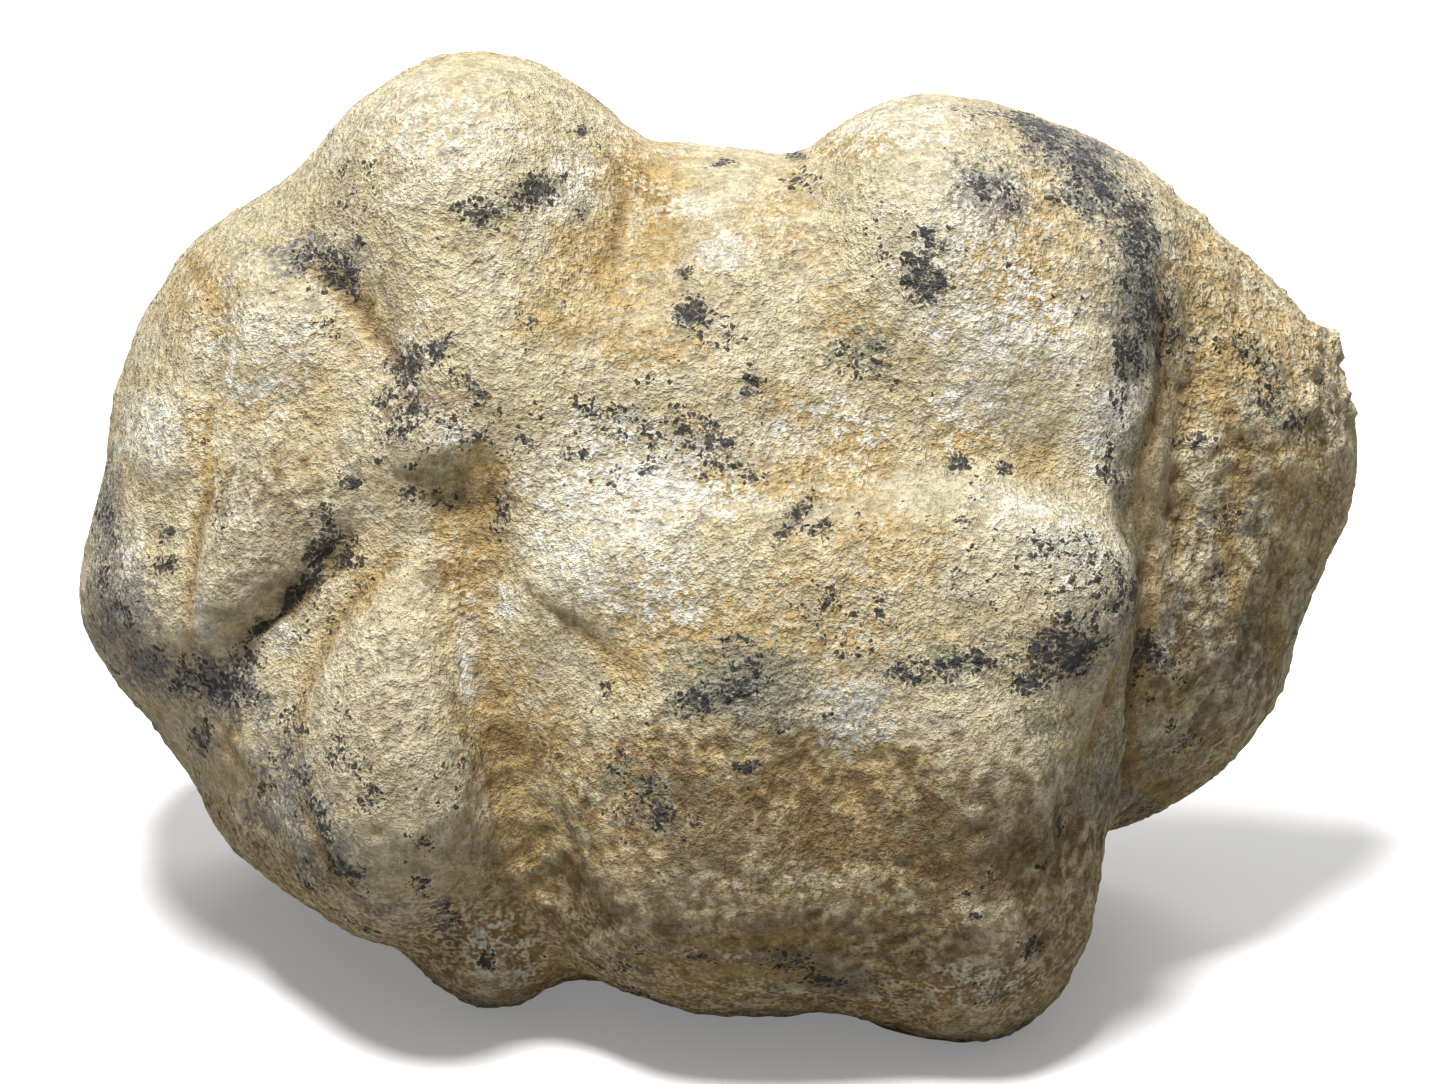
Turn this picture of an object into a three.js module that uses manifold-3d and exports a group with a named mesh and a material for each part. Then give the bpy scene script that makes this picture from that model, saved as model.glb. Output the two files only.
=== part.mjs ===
// Half of a hollow stone nodule: a lumpy, chalky rind that is broken open at the back, and the crust of
// quartz points that lines its hollow. Millimetres, +Z up, the lumpy side facing -Y.
//
// The stone is shaped face on, where across runs to the right, up runs up the face and out runs towards the
// viewer. It is then tipped back by LEAN, broken open across the back and worn flat where it rests.
import * as THREE from "three";
import { mergeVertices } from "three/addons/utils/BufferGeometryUtils.js";
import Module from "manifold-3d";

const LEAN = 22 * Math.PI / 180;   // how far the face leans back
const REACH = 150;                 // farther out than any of the stone
const HEART = [0, 8, -8];          // the point that the outside is shaped around
const RIND_DETAIL = 16;            // how finely the outside is faceted
const HOLLOW_DETAIL = 7;           // and the hollow and its crust
const STRETCH = [1.4, 0.95, 1];    // gives the wide ends their share of the facets
const GROUND = -64.2;              // height of the resting flat below the face's middle
const BREAK_AT = 41;               // where the broken face crosses the middle of the stone
const BREAK_TURN = -0.13;          // and how it is turned about Z
const BREAK_LEAN = 0.06;           // and about X
const ROUGH = 1.1;                 // half the height of the broken face's unevenness
const PITTED = 0.55;               // and of the rind's

const HOLLOW_AT = [0, 46, -8];     // middle of the hollow's mouth
const HOLLOW_SIZE = [65, 74, 38];  // its half-widths
const HOLLOW_WAVE = 3;             // how far its wall swells in and out
const GAP = 0.35;                  // between the rind and the crust
const CRUST = 3.6;                 // thickness of the crust under its points
const POINTS = 54;                 // how many quartz points stand on it
const POINT_RADIUS = [4, 7.5];     // least and greatest
const POINT_LENGTH = [7, 14];
const RIM_CLEAR = 8;               // how far inside the rim the first points stand

// The lumps that the stone is made of. place is [across, up, out], size the three half-widths, turn the angle
// in degrees that a lump is turned by, anticlockwise, and soft the width over which it runs into the lumps
// before it.
const LUMPS = [
  { name: "body", place: [-4, -4, -13], size: [78, 55, 51], turn: 0, soft: 0 },
  { name: "rear", place: [-6, -12, -38], size: [70, 33, 42], turn: 0, soft: 14 },
  { name: "saddle", place: [0, 34, -6], size: [26, 23, 35], turn: 0, soft: 14 },
  { name: "upper left lobe", place: [-36, 45, -4], size: [25.5, 26.5, 37], turn: 0, soft: 14 },
  { name: "hill", place: [-32, 20, 8], size: [25, 24, 29], turn: 0, soft: 12 },
  { name: "left shoulder", place: [-62, 30, -22], size: [25.5, 21.5, 45], turn: 37, soft: 13 },
  { name: "left edge, upper", place: [-74, 12, -24], size: [17, 20, 43], turn: 0, soft: 10 },
  { name: "left edge, lower", place: [-76, -6, -26], size: [19.5, 19, 44], turn: 0, soft: 8 },
  { name: "lower left flank", place: [-57.5, -26, -24], size: [28, 20, 46], turn: -41, soft: 12 },
  { name: "lower left corner", place: [-64, -41, -16], size: [12, 8.5, 24], turn: -40, soft: 6 },
  { name: "tongue", place: [-61, 4, 8], size: [27, 12, 19], turn: 44, soft: 8 },
  { name: "right block, upper", place: [60.5, 20, -24], size: [36, 29.5, 38], turn: -35, soft: 12 },
  { name: "right block, lower", place: [60, -12.5, -28], size: [33, 24.8, 42], turn: 58, soft: 8 },
  { name: "upper right lobe", place: [31, 38, -4], size: [26, 28, 38], turn: 0, soft: 5 },
  { name: "upper right slope", place: [33, 15, 8], size: [25, 25, 29], turn: 0, soft: 12 },
  { name: "upper right corner", place: [50, 38, -10], size: [25, 21.2, 34], turn: -35, soft: 8 },
  { name: "right plate", place: [50, 12, 4], size: [14, 44, 27], turn: 3, soft: 10 },
  { name: "terrace", place: [-3, 18, 10], size: [36, 22, 27], turn: 0, soft: 14 },
  { name: "belly, left", place: [0, -26, 12], size: [31, 35, 34], turn: 0, soft: 8 },
  { name: "belly, right", place: [34, -26, 12], size: [24, 34, 33], turn: 0, soft: 12 },
  { name: "belly, ridge", place: [18, -12, 14], size: [40, 19, 30], turn: -2, soft: 10 },
  { name: "belly underside", place: [6, -48, 8], size: [38, 19.3, 30], turn: -4, soft: 14 },
  { name: "resting spot", place: [-8, -43, -12], size: [32, 17.8, 27], turn: 0, soft: 8 },
  { name: "lower left lobe", place: [-45, -30, 10], size: [20, 28, 30], turn: -8, soft: 12 },
  { name: "left foot", place: [-33, -54, 2], size: [13, 13.5, 16], turn: 0, soft: 6 },
  { name: "right foot", place: [34, -52, 8], size: [19.5, 20.3, 24], turn: 0, soft: 7 },
  { name: "knob", place: [-38.5, 14, 33], size: [6, 5, 5], turn: 20, soft: 4 },
];

// Creases and folds of its front, as lines of [across, up] that are pressed in. Each is this wide and deep, and
// runs out at its ends.
const CREASES = [
  { name: "beside the tongue", width: 3.5, depth: 1.8,
    line: [[-46, 8], [-52.2, 0.5], [-61.1, -8.4], [-70, -14.3], [-78, -19]] },
  { name: "far left", width: 4, depth: 1,
    line: [[-75, 22], [-78.9, 6.5], [-80.4, -2.4], [-78.9, -14.3], [-73, -22]] },
  { name: "lower left lobe", width: 4, depth: 1.4,
    line: [[-40.4, 2], [-52.2, -6.9], [-58.2, -14.3], [-62.6, -23.2], [-63.4, -32.1], [-60, -46]] },
  { name: "trough", width: 6, depth: 2.2,
    line: [[-40.4, 21.3], [-35.9, 6.5], [-32.9, -2.4], [-35.7, -12], [-34.9, -23.2], [-31, -38.1], [-26, -52]] },
  { name: "slanting groove", width: 5, depth: 1.2,
    line: [[-33, 0], [-19.6, -12.8], [-10.7, -21.7], [0, -34]] },
  { name: "shoulder", width: 5, depth: 1.4,
    line: [[-68, 43], [-56.7, 39.1], [-50.8, 31.7], [-47.8, 25.7], [-41.8, 18]] },
  { name: "saddle", width: 6, depth: 1.6,
    line: [[-12.2, 62], [-13.7, 46.5], [-18.1, 36.1], [-24, 28.7], [-34, 22]] },
  { name: "terrace", width: 8, depth: 1.4,
    line: [[-16, 44], [-3.3, 34], [11.6, 28], [26.4, 22], [41.3, 14], [54, 6]] },
  { name: "beside the belly", width: 3, depth: 1.8,
    line: [[57, 4], [60, -6], [61, -14.3], [59.8, -29.2], [55, -44]] },
  { name: "ledge", width: 3, depth: 1.6,
    line: [[67, 60], [67.5, 43.6], [68, 31.7], [67.5, 21.3], [65.5, 10.9], [67, -2.4], [66.7, -14.3],
      [65.5, -23.2], [62, -34]] },
];

const wasm = await Module();
wasm.setup();

// How far a point [across, up, out] is from the skin of one lump, below zero inside it.
function fromLump(point, lump) {
  const cos = Math.cos(lump.turn * Math.PI / 180);
  const sin = Math.sin(lump.turn * Math.PI / 180);
  const across = point[0] - lump.place[0];
  const up = point[1] - lump.place[1];
  const along = [across * cos + up * sin, up * cos - across * sin, point[2] - lump.place[2]];
  const near = Math.hypot(...along.map((value, axis) => value / lump.size[axis]));
  const steep = Math.hypot(...along.map((value, axis) => value / lump.size[axis] ** 2));
  return near * (near - 1) / Math.max(steep, 1e-9);
}

// How deep a crease presses in at [across, up].
function creaseDepth(point, crease) {
  let nearest = Infinity;
  let reached = 0;
  let run = 0;
  for (let i = 1; i < crease.line.length; i += 1) {
    const start = crease.line[i - 1];
    const step = [crease.line[i][0] - start[0], crease.line[i][1] - start[1]];
    const length = Math.hypot(...step);
    const offset = [point[0] - start[0], point[1] - start[1]];
    const part = THREE.MathUtils.clamp((offset[0] * step[0] + offset[1] * step[1]) / length ** 2, 0, 1);
    const away = Math.hypot(offset[0] - part * step[0], offset[1] - part * step[1]);
    if (away < nearest) {
      nearest = away;
      reached = run + part * length;
    }
    run += length;
  }
  const fade = THREE.MathUtils.clamp(4 * Math.min(reached, run - reached) / run, 0, 1);
  return crease.depth * fade * Math.exp(-((nearest / crease.width) ** 2));
}

// How far [x, y, z] is from the outside of the whole stone, below zero inside it.
function fromStone(x, y, z) {
  const point = [
    x,
    y * Math.sin(LEAN) + z * Math.cos(LEAN),
    z * Math.sin(LEAN) - y * Math.cos(LEAN),
  ];
  let distance = Infinity;
  for (const lump of LUMPS) {
    const other = fromLump(point, lump);
    const mix = distance === Infinity ? 0 : Math.max(lump.soft - Math.abs(distance - other), 0);
    distance = Math.min(distance, other) - (lump.soft > 0 ? mix * mix / lump.soft / 4 : 0);
  }
  const front = THREE.MathUtils.smoothstep(point[2], -12, 4);
  for (const crease of CREASES) {
    distance += front * creaseDepth(point, crease);
  }
  const pits = Math.sin(x * 0.37 + z * 0.11) * Math.sin(z * 0.41 - y * 0.2 + 1) * Math.sin(y * 0.33 + x * 0.17);
  return distance + 2 * PITTED * pits;
}

// How far [x, y, z] is from the wall of the hollow, below zero inside the hollow.
function fromHollow(x, y, z) {
  const away = [x - HOLLOW_AT[0], y - HOLLOW_AT[1], z - HOLLOW_AT[2]];
  const near = Math.hypot(...away.map((value, axis) => value / HOLLOW_SIZE[axis]));
  const steep = Math.hypot(...away.map((value, axis) => value / HOLLOW_SIZE[axis] ** 2));
  const wave = Math.sin(x * 0.13 + 1) * Math.sin(y * 0.15) * Math.sin(z * 0.14 + 2);
  return near * (near - 1) / Math.max(steep, 1e-9) + HOLLOW_WAVE * wave;
}

// The distance from a middle, along a direction, at which a shape is left.
function reachOf(shape, middle, way, offset) {
  let inside = 0;
  let outside = REACH;
  for (let i = 0; i < 26; i += 1) {
    const half = (inside + outside) / 2;
    const far = shape(middle[0] + half * way.x, middle[1] + half * way.y, middle[2] + half * way.z) + offset;
    if (far > 0) {
      outside = half;
    } else {
      inside = half;
    }
  }
  return inside;
}

// A three.js geometry as a solid that can be cut and joined.
function toSolid(geometry) {
  const bare = geometry.clone();
  bare.deleteAttribute("normal");
  bare.deleteAttribute("uv");
  const merged = mergeVertices(bare, 1e-4);
  const vertProperties = new Float32Array(merged.attributes.position.array);
  const triVerts = new Uint32Array(merged.index.array);
  return new wasm.Manifold(new wasm.Mesh({ numProp: 3, vertProperties, triVerts }));
}

// The skin of a shape, offset inwards, as a solid with facets of much the same size.
function skin(shape, middle, detail, offset) {
  const geometry = new THREE.IcosahedronGeometry(1, detail);
  const position = geometry.attributes.position;
  const way = new THREE.Vector3();
  for (let i = 0; i < position.count; i += 1) {
    way.fromBufferAttribute(position, i);
    way.multiply(new THREE.Vector3(...STRETCH)).normalize();
    const reach = reachOf(shape, middle, way, offset);
    position.setXYZ(i, middle[0] + reach * way.x, middle[1] + reach * way.y, middle[2] + reach * way.z);
  }
  return toSolid(geometry);
}

// A block whose lower side is uneven, placed so that it takes away all that is behind the broken face. back
// moves it away from the stone.
function breakBlock(back) {
  const geometry = new THREE.BoxGeometry(260, 200, 100, 28, 20, 1);
  const position = geometry.attributes.position;
  for (let i = 0; i < position.count; i += 1) {
    const x = position.getX(i);
    const y = position.getY(i);
    const slow = Math.sin(x * 0.09 + 2) * Math.sin(y * 0.11 + 1) + 0.5 * Math.sin(x * 0.031 - y * 0.043);
    const fast = Math.sin(x * 0.61 + y * 0.35) * Math.sin(y * 0.53 - x * 0.27 + 1);
    const lift = position.getZ(i) < 0 ? ROUGH * (1.6 * slow + 0.5 * fast) : 0;
    position.setZ(i, position.getZ(i) + 50 + back + lift);
  }
  geometry.rotateX(-Math.PI / 2 + BREAK_LEAN);
  geometry.rotateZ(BREAK_TURN);
  geometry.translate(0, BREAK_AT, 0);
  return toSolid(geometry);
}

// One six-sided quartz point standing on the crust, at a place along a way.
function quartzPoint(place, way, radius, length, spin) {
  const profile = [
    new THREE.Vector2(0, 0),
    new THREE.Vector2(radius, 0),
    new THREE.Vector2(radius * 0.92, length * 0.55),
    new THREE.Vector2(0, length),
  ];
  const geometry = new THREE.LatheGeometry(profile, 6);
  geometry.rotateY(spin);
  geometry.applyQuaternion(new THREE.Quaternion().setFromUnitVectors(new THREE.Vector3(0, 1, 0), way));
  geometry.translate(place.x, place.y, place.z);
  return toSolid(geometry);
}

// All the quartz points: spread evenly over the hollow, each a little different.
function quartzPoints() {
  const middle = new THREE.Vector3(...HOLLOW_AT);
  const solids = [];
  for (let i = 0; i < POINTS * 2; i += 1) {
    const depth = 1 - (2 * i + 1) / (POINTS * 2);
    const around = i * 2.399963;
    const flat = Math.sqrt(1 - depth * depth);
    const way = new THREE.Vector3(flat * Math.cos(around), -depth, flat * Math.sin(around) * 0.8).normalize();
    const reach = reachOf(fromHollow, HOLLOW_AT, way, GAP + CRUST - 1.2);
    const place = middle.clone().addScaledVector(way, reach);
    const vary = (Math.sin(i * 12.9898) * 43758.5453) % 1;
    const other = (Math.sin(i * 78.233) * 12543.21) % 1;
    const inward = way.clone().negate();
    inward.x += 0.35 * vary;
    inward.z += 0.35 * other;
    inward.normalize();
    const radius = THREE.MathUtils.lerp(...POINT_RADIUS, Math.abs(vary));
    const length = THREE.MathUtils.lerp(...POINT_LENGTH, Math.abs(other));
    const limit = BREAK_AT - RIM_CLEAR - Math.tan(-BREAK_TURN) * place.x;
    if (place.y < limit) {
      solids.push(quartzPoint(place, inward, radius, length, i));
    }
  }
  return wasm.Manifold.union(solids);
}

const ground = toSolid(new THREE.BoxGeometry(400, 400, 100).translate(0, 0, GROUND - 50));
const hollow = skin(fromHollow, HOLLOW_AT, HOLLOW_DETAIL, 0);
const rind = skin(fromStone, HEART, RIND_DETAIL, 0).subtract(ground).subtract(breakBlock(0)).subtract(hollow);
const lining = skin(fromHollow, HOLLOW_AT, HOLLOW_DETAIL, GAP);
const inside = skin(fromHollow, HOLLOW_AT, HOLLOW_DETAIL, GAP + CRUST);
const crust = lining.subtract(inside).add(quartzPoints()).intersect(lining).subtract(breakBlock(-0.5));

const box = rind.boundingBox();
const settle = [-(box.min[0] + box.max[0]) / 2, -(box.min[1] + box.max[1]) / 2, -box.min[2]];

// A solid as a named mesh, moved so that the stone stands on the ground over the origin.
function toMesh(solid, name, material) {
  const { vertProperties, triVerts } = solid.getMesh();
  const geometry = new THREE.BufferGeometry();
  geometry.setAttribute("position", new THREE.BufferAttribute(vertProperties, 3));
  geometry.setIndex(new THREE.BufferAttribute(triVerts, 1));
  geometry.translate(...settle);
  geometry.computeVertexNormals();
  const mesh = new THREE.Mesh(geometry, material);
  mesh.name = name;
  return mesh;
}

const chalkyStone = new THREE.MeshStandardMaterial({ color: 0xcdbb95, roughness: 0.93, metalness: 0 });
const quartz = new THREE.MeshStandardMaterial({ color: 0xe6e4df, roughness: 0.12, metalness: 0 });

const stone = new THREE.Group();
stone.add(toMesh(rind, "rind", chalkyStone));
stone.add(toMesh(crust, "crystal_crust", quartz));

export default stone;
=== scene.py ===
import math
import random
from collections import namedtuple
from functools import partialmethod

import bmesh
import bpy
import numpy as np
from mathutils import Matrix, Vector, noise


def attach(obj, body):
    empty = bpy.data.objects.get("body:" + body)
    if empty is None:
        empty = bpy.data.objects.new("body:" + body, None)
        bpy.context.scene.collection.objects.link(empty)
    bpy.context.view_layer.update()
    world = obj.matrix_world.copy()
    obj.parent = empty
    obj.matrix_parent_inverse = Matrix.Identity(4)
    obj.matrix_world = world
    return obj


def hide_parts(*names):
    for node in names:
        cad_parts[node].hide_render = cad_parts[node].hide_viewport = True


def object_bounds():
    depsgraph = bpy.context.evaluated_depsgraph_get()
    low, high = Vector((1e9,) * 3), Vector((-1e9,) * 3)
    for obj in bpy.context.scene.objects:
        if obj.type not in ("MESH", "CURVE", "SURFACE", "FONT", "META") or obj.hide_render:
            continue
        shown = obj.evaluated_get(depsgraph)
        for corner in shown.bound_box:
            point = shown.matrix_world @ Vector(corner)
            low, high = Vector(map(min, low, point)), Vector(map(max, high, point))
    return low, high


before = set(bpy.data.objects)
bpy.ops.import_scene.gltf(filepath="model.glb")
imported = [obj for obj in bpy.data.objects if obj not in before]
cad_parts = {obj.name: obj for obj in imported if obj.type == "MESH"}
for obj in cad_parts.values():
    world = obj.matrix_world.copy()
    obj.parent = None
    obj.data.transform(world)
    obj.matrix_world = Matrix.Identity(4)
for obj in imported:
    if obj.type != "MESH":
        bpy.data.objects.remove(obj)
cad_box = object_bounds()

# Half of a hollow stone nodule. Lengths are in millimetres in the stone's own frame, whose middle stands
# SETTLE above and beside the frame's origin. The face is tipped back by LEAN: across runs to the right, up
# runs up the face and out runs towards the viewer.
MM = 0.001
SETTLE = np.array([0.3686, 1.2138, 64.2])
LEAN = math.radians(22)
EYE_DISTANCE = 1300  # from the middle of the stone to the camera
EYE_SHIFT = (0.07, 0, 0.2)  # where the camera aims, from the middle of the stone
FRAME_WIDTH = 210.4  # how much of the face's plane the camera takes in, side to side
STAIN_WIDTH = 214.4  # the same on the scale that folds and stains are placed by
SENSOR = 36  # width of the camera's sensor

GROUND = -64.2  # height of the flat that the stone rests on
BREAK_AT = 41  # the broken face: where it crosses the middle, its turn and its lean
BREAK_TURN = -0.13
BREAK_LEAN = 0.06
ROUGH = 1.1  # and how uneven it is
HOLLOW_AT = np.array([0, 46, -8])
HOLLOW_SIZE = np.array([65, 74, 38])
HOLLOW_WAVE = 3
GAP = 0.35  # between the hollow's wall and the crust
CRUST = 3.6  # thickness of the crust under its points

SKIN_STEP = 1.1  # size of the faces of the rind
PULL = 1.6  # how far a face may be drawn to the stone's true skin in one step
BOX_MARGIN = 0.12  # how far the skin stays inside the frame's box
BOX_EASE = 1.5  # and from how far off it is eased in

POINTS = 1500  # quartz points tried over the half of the hollow behind the break
POINT_SEED = 11
GOLDEN_TURN = 2.399963  # radians from each way to the next, which spreads them evenly
SMALLEST_RADIUS = 1.1
RADIUS_RANGE = 2.6  # how much thicker than the smallest the thickest may be
RADIUS_BIAS = 2.2  # above 1, most points are small
ROOT_DEPTH = 0.5  # how deep a point is set in the crust
POINT_LEAN = 0.42  # how far it may lean, as a share of straight out
BREAK_CLEARANCE = 1.2  # how far it stays behind the broken face
SLIVER = 1e-7  # metres; shorter edges of the crust are closed up

# How high each kind of relief stands on the rind. Crude relief is only where the stone crumbles.
RELIEF = {
    "swell": 0.35, "knobbly": 0.24, "crude knobbly": 0.25, "wrinkled": 0.11, "grain": 0.32,
    "crude lumps": 0.45, "crude ridges": 0.5, "back": 1.1, "base": -0.3, "pits": -0.4, "rim": 2.6,
    "scratches": 0.3, "fold": -0.55,
    "broken knobbly": 0.5, "broken grain": 0.3, "broken lumps": 0.6, "broken ridges": -0.8,
}
CRUMBLY_SPOTS = [((3, -21.5), (8, 5.5), 1), ((19, -25), (7, 4), 0.6)]  # middle, half-widths, strength
SCRATCHED_SPOT = ((51, -42), (9, 10))
SCRATCH_STEP = 1.05

# The lumps of the stone: place, size, turn in degrees, and the width over which each runs into the rest.
LUMPS = [
    ((-4, -4, -13), (78, 55, 51), 0, 0),  # body
    ((-6, -12, -38), (70, 33, 42), 0, 14),  # rear
    ((0, 34, -6), (26, 23, 35), 0, 14),  # saddle
    ((-36, 45, -4), (25.5, 26.5, 37), 0, 14),  # upper left lobe
    ((-32, 20, 8), (25, 24, 29), 0, 12),  # hill
    ((-62, 30, -22), (25.5, 21.5, 45), 37, 13),  # left shoulder
    ((-74, 12, -24), (17, 20, 43), 0, 10),  # left edge, upper
    ((-76, -6, -26), (19.5, 19, 44), 0, 8),  # left edge, lower
    ((-57.5, -26, -24), (28, 20, 46), -41, 12),  # lower left flank
    ((-64, -41, -16), (12, 8.5, 24), -40, 6),  # lower left corner
    ((-61, 4, 8), (27, 12, 19), 44, 8),  # tongue
    ((60.5, 20, -24), (36, 29.5, 38), -35, 12),  # right block, upper
    ((60, -12.5, -28), (33, 24.8, 42), 58, 8),  # right block, lower
    ((31, 38, -4), (26, 28, 38), 0, 5),  # upper right lobe
    ((33, 15, 8), (25, 25, 29), 0, 12),  # upper right slope
    ((50, 38, -10), (25, 21.2, 34), -35, 8),  # upper right corner
    ((50, 12, 4), (14, 44, 27), 3, 10),  # right plate
    ((-3, 18, 10), (36, 22, 27), 0, 14),  # terrace
    ((0, -26, 12), (31, 35, 34), 0, 8),  # belly, left
    ((34, -26, 12), (24, 34, 33), 0, 12),  # belly, right
    ((18, -12, 14), (40, 19, 30), -2, 10),  # belly, ridge
    ((6, -48, 8), (38, 19.3, 30), -4, 14),  # belly underside
    ((-8, -43, -12), (32, 17.8, 27), 0, 8),  # resting spot
    ((-45, -30, 10), (20, 28, 30), -8, 12),  # lower left lobe
    ((-33, -54, 2), (13, 13.5, 16), 0, 6),  # left foot
    ((34, -52, 8), (19.5, 20.3, 24), 0, 7),  # right foot
    ((-38.5, 14, 33), (6, 5, 5), 20, 4),  # knob
]

# The wide creases of the face: width, depth and the line each follows, [across, up].
CREASES = [
    (3.5, 1.8, [(-46, 8), (-52.2, 0.5), (-61.1, -8.4), (-70, -14.3), (-78, -19)]),
    (4, 1, [(-75, 22), (-78.9, 6.5), (-80.4, -2.4), (-78.9, -14.3), (-73, -22)]),
    (4, 1.4, [(-40.4, 2), (-52.2, -6.9), (-58.2, -14.3), (-62.6, -23.2), (-63.4, -32.1), (-60, -46)]),
    (6, 2.2, [(-40.4, 21.3), (-35.9, 6.5), (-32.9, -2.4), (-35.7, -12), (-34.9, -23.2), (-31, -38.1),
              (-26, -52)]),
    (5, 1.2, [(-33, 0), (-19.6, -12.8), (-10.7, -21.7), (0, -34)]),
    (5, 1.4, [(-68, 43), (-56.7, 39.1), (-50.8, 31.7), (-47.8, 25.7), (-41.8, 18)]),
    (6, 1.6, [(-12.2, 62), (-13.7, 46.5), (-18.1, 36.1), (-24, 28.7), (-34, 22)]),
    (8, 1.4, [(-16, 44), (-3.3, 34), (11.6, 28), (26.4, 22), (41.3, 14), (54, 6)]),
    (3, 1.8, [(57, 4), (60, -6), (61, -14.3), (59.8, -29.2), (55, -44)]),
    (3, 1.6, [(67, 60), (67.5, 43.6), (68, 31.7), (67.5, 21.3), (65.5, 10.9), (67, -2.4), (66.7, -14.3),
              (65.5, -23.2), (62, -34)]),
]

# Broad swellings and dips of the fine skin over the solid's lumps: half-width, lift and line of each.
SWELLS = [
    (9.5, 4.4, [(-25, -9), (-18, -2), (-5, 1.5), (10, 0), (25, -0.5), (40, 0.5), (50, -1),
                (55, -8)]),  # belly's lip
    (5, -1.7, [(20, 11.5), (36, 12.5), (48, 11), (57, 6)]),
    (9, -2.4, [(-20, 18), (0, 19), (20, 19), (40, 18), (52, 14)]),  # terrace
    (9, 3.4, [(50, -3), (53, -10)]),  # its shoulder
    (4, -3.2, [(62, 10), (62, 2), (62.5, -6), (62, -15), (61, -25), (57, -36), (52, -47)]),  # beside the belly
    (6, -1.4, [(-36, 20), (-33, 5), (-33, -5), (-35, -20), (-32, -35), (-28, -50)]),  # trough
    (11, 2.6, [(-47, -14), (-46, -26), (-42, -40)]),  # lower left lobe
    (7, 1.8, [(-44, 19), (-55, 8), (-66, -4), (-74, -13)]),  # tongue
    (3.5, 0.9, [(-44, 8), (-52, 0), (-61, -8.5), (-70, -15), (-76, -19)]),
    (2.3, -1.2, [(-74, 42), (-75, 30), (-76.5, 18), (-77.5, 8), (-79.5, -4), (-80.5, -14)]),  # far left
    (6, 1.3, [(-66, 32), (-68, 18), (-71, 4), (-75, -10)]),
    (5, 1.1, [(-85, 14), (-86, 2)]),
    (5, 1.0, [(-30, -2), (-20, -12), (-11, -21), (-5, -27)]),  # slanting groove
    (6, -1.8, [(-4, 57), (-8, 46), (-12, 35), (-16, 25)]),  # below the saddle
    (15, 1.6, [(36, 42), (44, 30)]),  # right lobe
    (5, -0.7, [(-58, 44), (-52, 34), (-48, 26), (-42, 20)]),  # shoulder's crease
    (10, 1.4, [(-40, 33), (-30, 24)]),  # hill
    (5, -2.2, [(-27, -48), (-19, -60)]),
    (12, 1.6, [(10, -22), (30, -24)]),
    (8, 1.8, [(-18, -4), (-6, -6)]),
    (6, 0.9, [(-32, 10), (-32.5, 1)]),
    (6, 1.5, [(36, -58), (44, -54)]),
]

# The thin folds and cracks that only the fine skin has: width, depth and line of each.
FOLDS = [
    (1.3, 1.5, [(64, 56), (65, 52.5), (65.5, 43.6), (66.2, 31.7), (65.5, 21.3), (63.5, 10.9), (65, -2.4),
                (64.7, -14.3), (63.5, -23.2), (60, -32)]),  # ledge
    (1.2, 1.3, [(65.7, 4), (64, -2), (63, -8.4), (63.4, -17.3), (62, -26.2), (58.5, -33)]),  # second fold
    (1.1, 1.1, [(58, 0), (59.3, -5), (58.8, -11.4), (59.6, -20.3), (57.6, -29.2), (53, -38)]),
    (0.9, 0.9, [(71, 10), (73.2, 13.1), (76.9, 14.9), (81.3, 13.9), (84, 11)]),  # arc crack
    (1.6, 1.4, [(84.3, 1), (82.1, -11.4), (84.3, -23.2)]),
    (1.6, 0.6, [(74, 40), (76, 30), (73, 22), (78, 14), (75, 2), (77, -8), (72, -20)]),
    (1.2, 1, [(-82, 44.5), (-80.1, 42.8), (-77.5, 39.1), (-74.2, 36.1)]),  # small shoulder fold
    (1.4, 1, [(-66, 43), (-56.7, 39.1), (-50.8, 31.7), (-47.8, 25.7), (-45, 21)]),
    (1.2, 0.7, [(-50, 3), (-52.2, 0.5), (-58, -5), (-63.5, -10), (-70, -14.3), (-74, -17)]),  # tongue groove
    (1.4, 1, [(-75.2, 12), (-78.2, 3.5), (-79.7, -5.4), (-79, -15.8), (-76, -21)]),
    (1.3, 1.3, [(-43, 3), (-52.2, -6.9), (-58.2, -14.3), (-62.6, -23.2), (-63.4, -32.1), (-62, -40)]),
    (1.2, 0.8, [(-56.7, -29.2), (-62.6, -38.1), (-58.2, -49.9), (-49.3, -57.4)]),
    (1.2, 0.9, [(-71, -24), (-74, -30), (-70, -36), (-64, -38)]),
    (1.4, 0.9, [(-31, -3), (-19.6, -12.8), (-10.7, -21.7), (-6, -26)]),  # slanting groove
    (1.6, 0.9, [(-46, 20), (-44, 12), (-45, 8), (-41, 5.5), (-36, 6), (-32.6, 10), (-32.5, 16)]),  # round the knob
    (1.2, 0.8, [(-14, 57), (-14.5, 50), (-17, 43), (-21, 37)]),
    (1.8, 1.2, [(-22, -63), (-12, -62), (0, -64.5), (10, -63.5), (22, -66)]),  # undercut ledge
    (1.5, 1, [(-12, -58), (0, -60), (14, -58.5), (26, -61)]),
    (2, 1, [(58, -30), (63, -36), (69, -39), (76, -38)]),
]

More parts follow.
